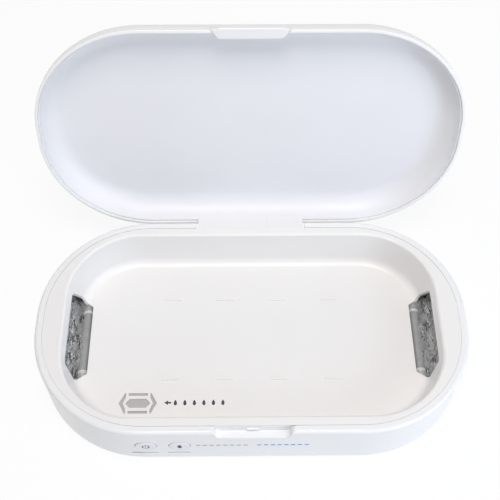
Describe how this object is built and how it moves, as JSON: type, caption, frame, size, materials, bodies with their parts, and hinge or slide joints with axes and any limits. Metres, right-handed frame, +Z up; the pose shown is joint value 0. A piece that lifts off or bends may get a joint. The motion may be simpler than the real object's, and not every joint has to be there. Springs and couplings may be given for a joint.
{
  "type": "face mask sterilizer",
  "caption": "Shallow oval-cornered case with a hinged domed lid, ultraviolet lamps at both ends of a ribbed mask tray, an aroma port and push buttons.",
  "frame": {"origin": "middle of the case's underside, on the surface that its feet stand on", "axes": "+X to the right along the case, -Y towards the user at the front wall with the buttons, +Z up"},
  "size_m": [0.225, 0.1737, 0.1425],
  "materials": {
    "case_white": "glossy",
    "tray_white": "satin",
    "lid_white": "glossy",
    "liner_white": "satin",
    "button_white": "satin",
    "bright_sheet": "bright crinkled sheet",
    "lamp_glass": "clear",
    "electrode_grey": "dull",
    "white_rubber": "matt",
    "foot_rubber": "matt",
    "wire_skin": "smooth",
    "board_green": "lacquered",
    "black_plastic": "matt",
    "ferrite": "matt",
    "copper_winding": "lacquered",
    "header_plastic": "matt",
    "capacitor_can": "satin",
    "steel": "satin",
    "magnet_nickel": "bright",
    "felt_pad": "felt"
  },
  "bodies": {
    "base": {"base_housing": "case_white", "aroma_cup": "header_plastic", "aroma_heater": "steel", "aroma_pad": "felt_pad", "board_capacitors": "capacitor_can", "board_chips": "black_plastic", "board_headers": "header_plastic", "board_screws": "steel", "button_board": "board_green", "button_lead": "wire_skin", "case_screws": "steel", "catch_plate": "steel", "electrodes_left": "electrode_grey", "electrodes_right": "electrode_grey", "heater_lead": "wire_skin", "hinge_pin": "steel", "inlet_board": "board_green", "inlet_lead": "wire_skin", "inlet_shell": "steel", "inlet_tongue": "black_plastic", "inner_tray": "tray_white", "lamp_caps_left": "white_rubber", "lamp_caps_right": "white_rubber", "lamp_leads_left": "wire_skin", "lamp_leads_right": "wire_skin", "lid_sensor": "black_plastic", "main_board": "board_green", "reflector_left": "bright_sheet", "reflector_right": "bright_sheet", "rubber_feet": "foot_rubber", "switch_bodies": "black_plastic", "transformer_cores": "ferrite", "transformer_windings": "copper_winding", "uv_tube_left": "lamp_glass", "uv_tube_right": "lamp_glass"},
    "lid": {"lid_shell": "lid_white", "lid_liner": "liner_white", "lid_tab": "lid_white", "lid_magnet": "magnet_nickel", "hinge_arm": "lid_white"},
    "power_button": {"power_button": "button_white", "power_plunger": "black_plastic"},
    "aroma_button": {"aroma_button": "button_white", "aroma_plunger": "black_plastic"}
  },
  "joints": [
    {"name": "lid_hinge", "type": "hinge", "parent": "base", "child": "lid", "pos_m": [0, 0.0612, 0.0233], "axis": [1, 0, 0], "range_deg": [0, 103]},
    {"name": "power_press", "type": "slide", "parent": "base", "child": "power_button", "axis": [0, 1, 0], "range_m": [0, 0.0006], "stiffness_N_per_m": 600},
    {"name": "aroma_press", "type": "slide", "parent": "base", "child": "aroma_button", "axis": [0, 1, 0], "range_m": [0, 0.0006], "stiffness_N_per_m": 600}
  ]
}
